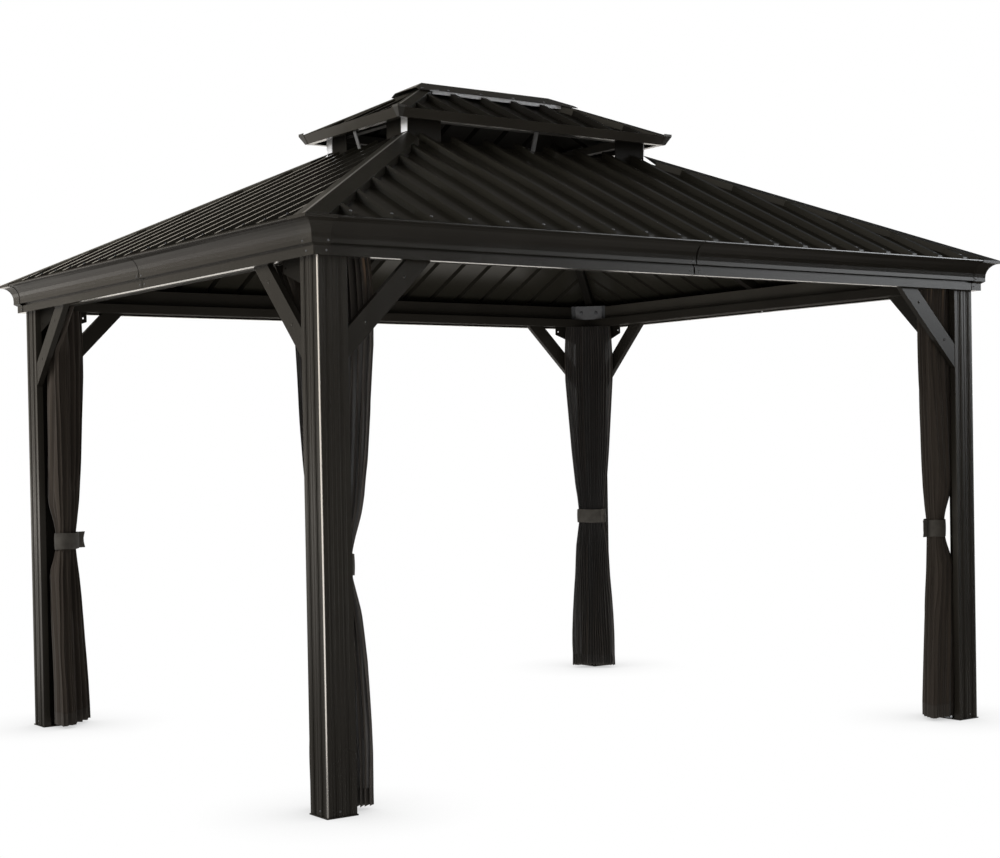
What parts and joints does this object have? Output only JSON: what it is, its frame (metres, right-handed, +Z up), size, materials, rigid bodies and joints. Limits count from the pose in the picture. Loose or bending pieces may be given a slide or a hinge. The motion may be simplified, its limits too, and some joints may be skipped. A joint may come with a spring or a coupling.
{
  "type": "hardtop metal gazebo",
  "caption": "Free-standing metal gazebo: fluted angle posts with knee braces, crown cornice, ribbed hip roof with a raised vent roof, and gathered nets tied at the corners.",
  "frame": {"origin": "on the ground, under the middle of the roof", "axes": "+X along the long front side, to the right seen from the front; +Y to the back; +Z up"},
  "size_m": [3.6016, 2.9776, 2.9288],
  "materials": {
    "frame_coat": "dark brown-black powder coat, satin",
    "roof_coat": "near-black baked coat on ribbed sheet",
    "bare_metal": "bare grey plate",
    "net_cloth": "sheer dark brown mesh",
    "tie_cloth": "woven dark grey band"
  },
  "bodies": {
    "root": {"post_front_left": "frame_coat", "post_front_right": "frame_coat", "post_back_right": "frame_coat", "post_back_left": "frame_coat", "base_plates": "frame_coat", "front_beam": "frame_coat", "right_beam": "frame_coat", "back_beam": "frame_coat", "left_beam": "frame_coat", "curtain_rails": "frame_coat", "front_braces": "frame_coat", "right_braces": "frame_coat", "back_braces": "frame_coat", "left_braces": "frame_coat", "gusset_plates": "frame_coat", "corner_plates": "bare_metal", "front_cornice": "frame_coat", "right_cornice": "frame_coat", "back_cornice": "frame_coat", "left_cornice": "frame_coat", "cornice_corners": "frame_coat", "front_roof": "roof_coat", "right_roof": "roof_coat", "back_roof": "roof_coat", "left_roof": "roof_coat", "hip_rafters": "frame_coat", "mid_rafters": "frame_coat", "hip_caps": "roof_coat", "vent_frame": "frame_coat", "vent_roof_frame": "frame_coat", "vent_legs": "frame_coat", "vent_straps": "bare_metal", "front_vent_roof": "roof_coat", "right_vent_roof": "roof_coat", "back_vent_roof": "roof_coat", "left_vent_roof": "roof_coat", "vent_fascia": "frame_coat", "vent_hip_caps": "roof_coat", "ridge_cap": "roof_coat", "ridge_closure": "bare_metal", "net_front_left": "net_cloth", "net_front_right": "net_cloth", "net_back_right": "net_cloth", "net_back_left": "net_cloth", "net_ties": "tie_cloth"}
  },
  "joints": []
}
